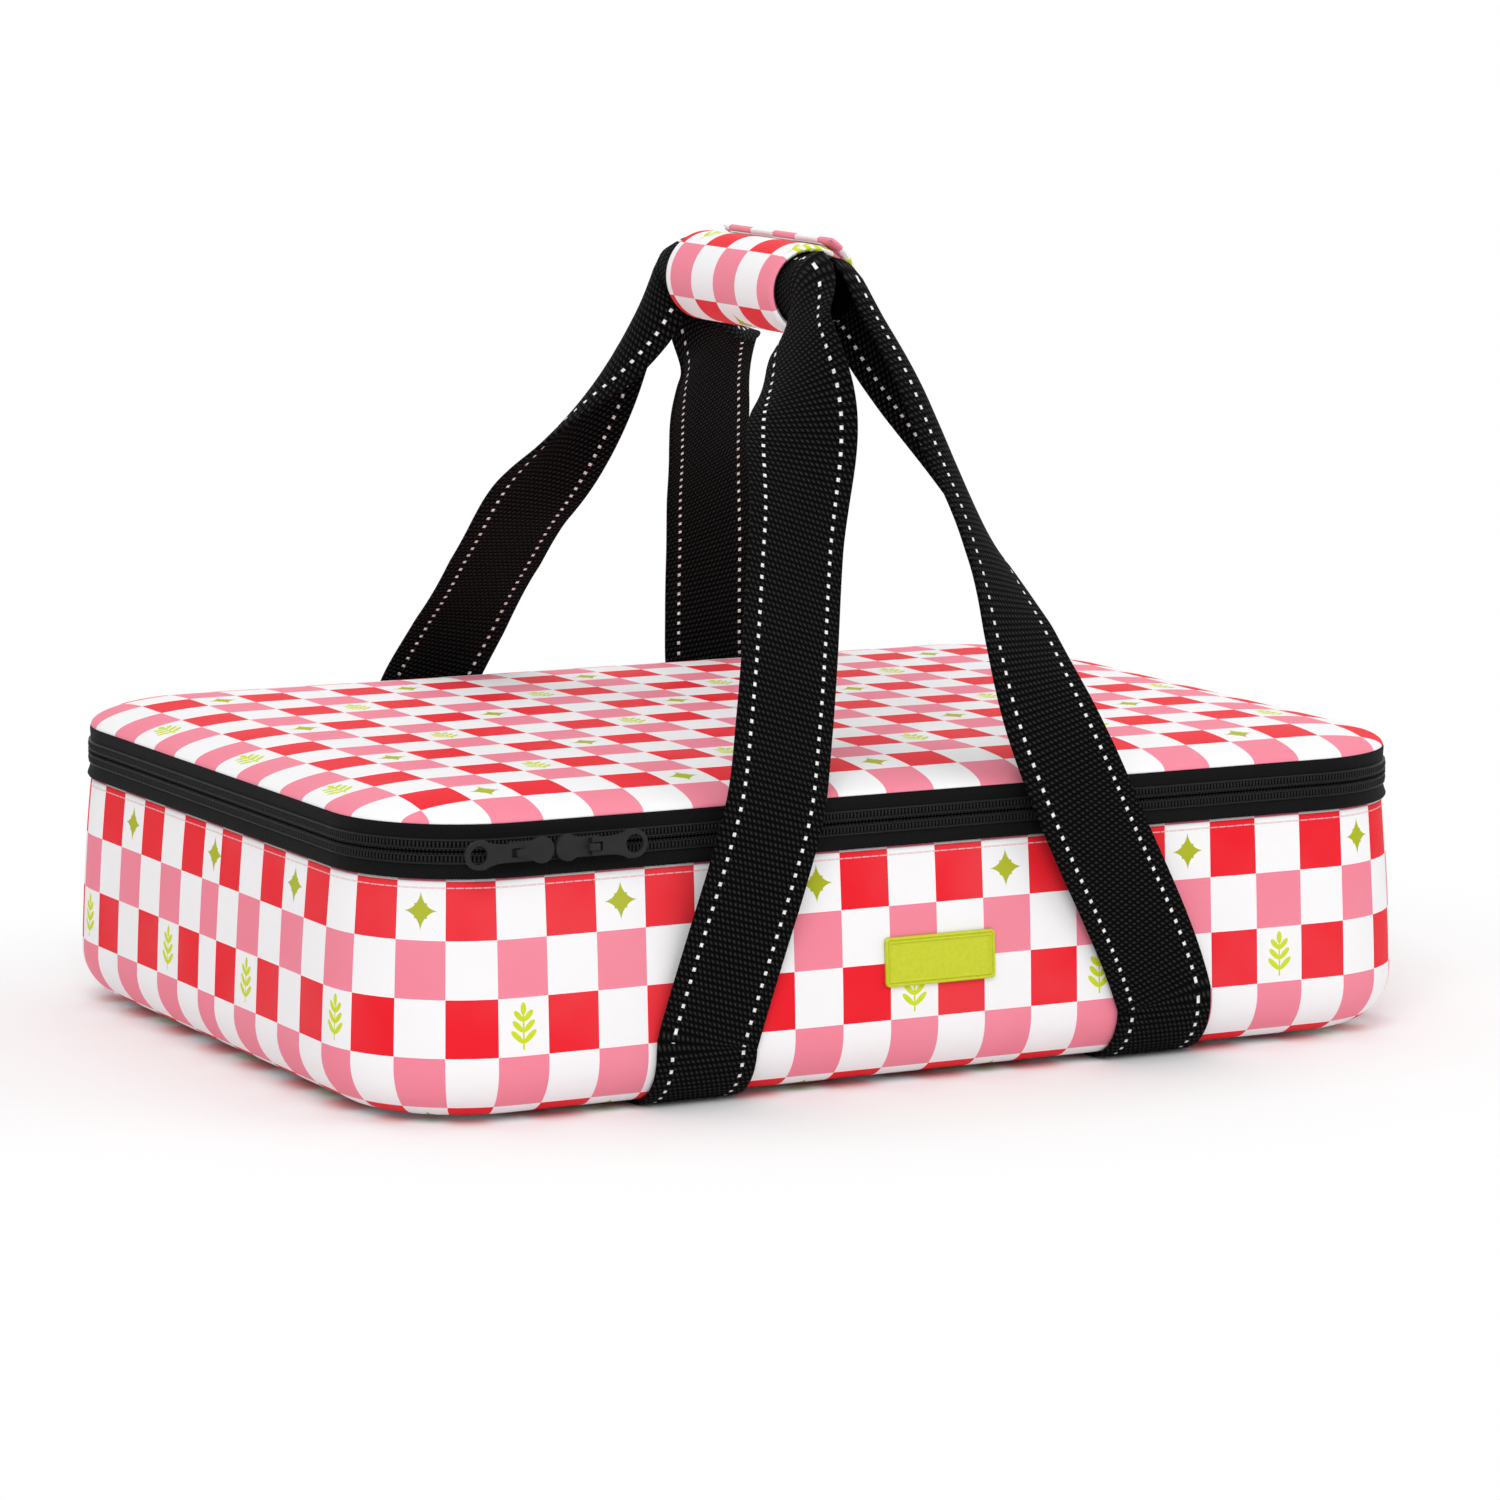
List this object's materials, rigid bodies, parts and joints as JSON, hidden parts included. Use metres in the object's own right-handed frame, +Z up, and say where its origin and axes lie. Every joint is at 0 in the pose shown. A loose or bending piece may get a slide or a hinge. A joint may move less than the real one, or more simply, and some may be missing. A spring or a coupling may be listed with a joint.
{
  "type": "casserole carrier",
  "caption": "Low insulated rectangular carrier with rounded corners, a lid zipped on three sides and webbing handles joined by a padded wrap.",
  "frame": {"origin": "middle of the footprint, on the surface that the carrier stands on", "axes": "+X along the front towards the right end, +Y from the front towards the hinged back, +Z up"},
  "size_m": [0.415, 0.3187, 0.2841],
  "materials": {
    "print": "coated printed cloth, red, pink and white checks with small lime and green motifs",
    "foam": "closed-cell foam",
    "lining": "silvered sheet",
    "binding": "woven",
    "board": "matte",
    "tape": "herringbone weave",
    "coil": "satin",
    "stop": "satin black",
    "patch": "moulded, satin lime, blank",
    "webbing": "coarse weave with white stitching",
    "wrap": "padded cloth in the same print",
    "fastener": "hook and loop",
    "slider": "satin black",
    "pull": "satin black"
  },
  "bodies": {
    "case": {"body_shell": "print", "body_foam": "foam", "body_lining": "lining", "body_binding": "binding", "base_board": "board", "zip_tape_lower": "tape", "zip_coil_lower": "coil", "zip_stop_left": "stop", "zip_stop_right": "stop", "label_patch": "patch", "strap_base_left": "webbing", "strap_base_right": "webbing"},
    "hinge_strip": {"hinge_strip": "tape"},
    "lid": {"lid_shell": "print", "lid_foam": "foam", "lid_lining": "lining", "lid_binding": "binding", "zip_tape_upper": "tape", "zip_coil_upper": "coil"},
    "strap_left": {"strap_loop_left": "webbing", "grip_pad": "wrap", "grip_loop_tape": "fastener"},
    "strap_right": {"strap_loop_right": "webbing"},
    "grip_flap": {"grip_flap": "wrap", "grip_hook_tape": "fastener"},
    "slider_left": {"slider_left": "slider"},
    "slider_right": {"slider_right": "slider"},
    "pull_left": {"pull_left": "pull"},
    "pull_right": {"pull_right": "pull"}
  },
  "joints": [
    {"name": "hinge_fold", "type": "hinge", "parent": "case", "child": "hinge_strip", "pos_m": [0, 0.149, 0.0836], "axis": [-1, 0, 0], "range_deg": [0, 12]},
    {"name": "lid_open", "type": "hinge", "parent": "hinge_strip", "child": "lid", "pos_m": [0, 0.149, 0.10155], "axis": [-1, 0, 0], "range_deg": [0, 68]},
    {"name": "strap_left_fold", "type": "hinge", "parent": "case", "child": "strap_left", "pos_m": [-0.09, 0, 0.022], "axis": [0, -1, 0], "range_deg": [0, 106.1], "deforming": ["strap_loop_left"]},
    {"name": "strap_right_fold", "type": "hinge", "parent": "case", "child": "strap_right", "pos_m": [0.09, 0, 0.022], "axis": [0, 1, 0], "range_deg": [0, 106.1], "deforming": ["strap_loop_right"]},
    {"name": "grip_flap_open", "type": "hinge", "parent": "strap_left", "child": "grip_flap", "pos_m": [0.002, -0.014, 0.2506], "axis": [0.0523, 0.9986, 0], "range_deg": [0, 120], "deforming": ["grip_flap", "grip_hook_tape"]},
    {"name": "slider_left_run", "type": "hinge", "parent": "case", "child": "slider_left", "pos_m": [-0.158, -0.103, 0.0926], "axis": [0, 0, -1], "range_deg": [0, 90]},
    {"name": "slider_right_run", "type": "slide", "parent": "case", "child": "slider_right", "axis": [1, 0, 0], "range_m": [0, 0.277]},
    {"name": "pull_left_swing", "type": "hinge", "parent": "slider_left", "child": "pull_left", "pos_m": [-0.1598, -0.1544, 0.0926], "axis": [0, 0, 1], "range_deg": [0, 110]},
    {"name": "pull_right_swing", "type": "hinge", "parent": "slider_right", "child": "pull_right", "pos_m": [-0.1332, -0.1544, 0.0926], "axis": [0, 0, -1], "range_deg": [0, 110]}
  ],
  "couplings": [
    {"joint": "strap_left_fold", "follows": "lid_open", "ratio": 1.56},
    {"joint": "strap_right_fold", "follows": "lid_open", "ratio": 1.56}
  ]
}
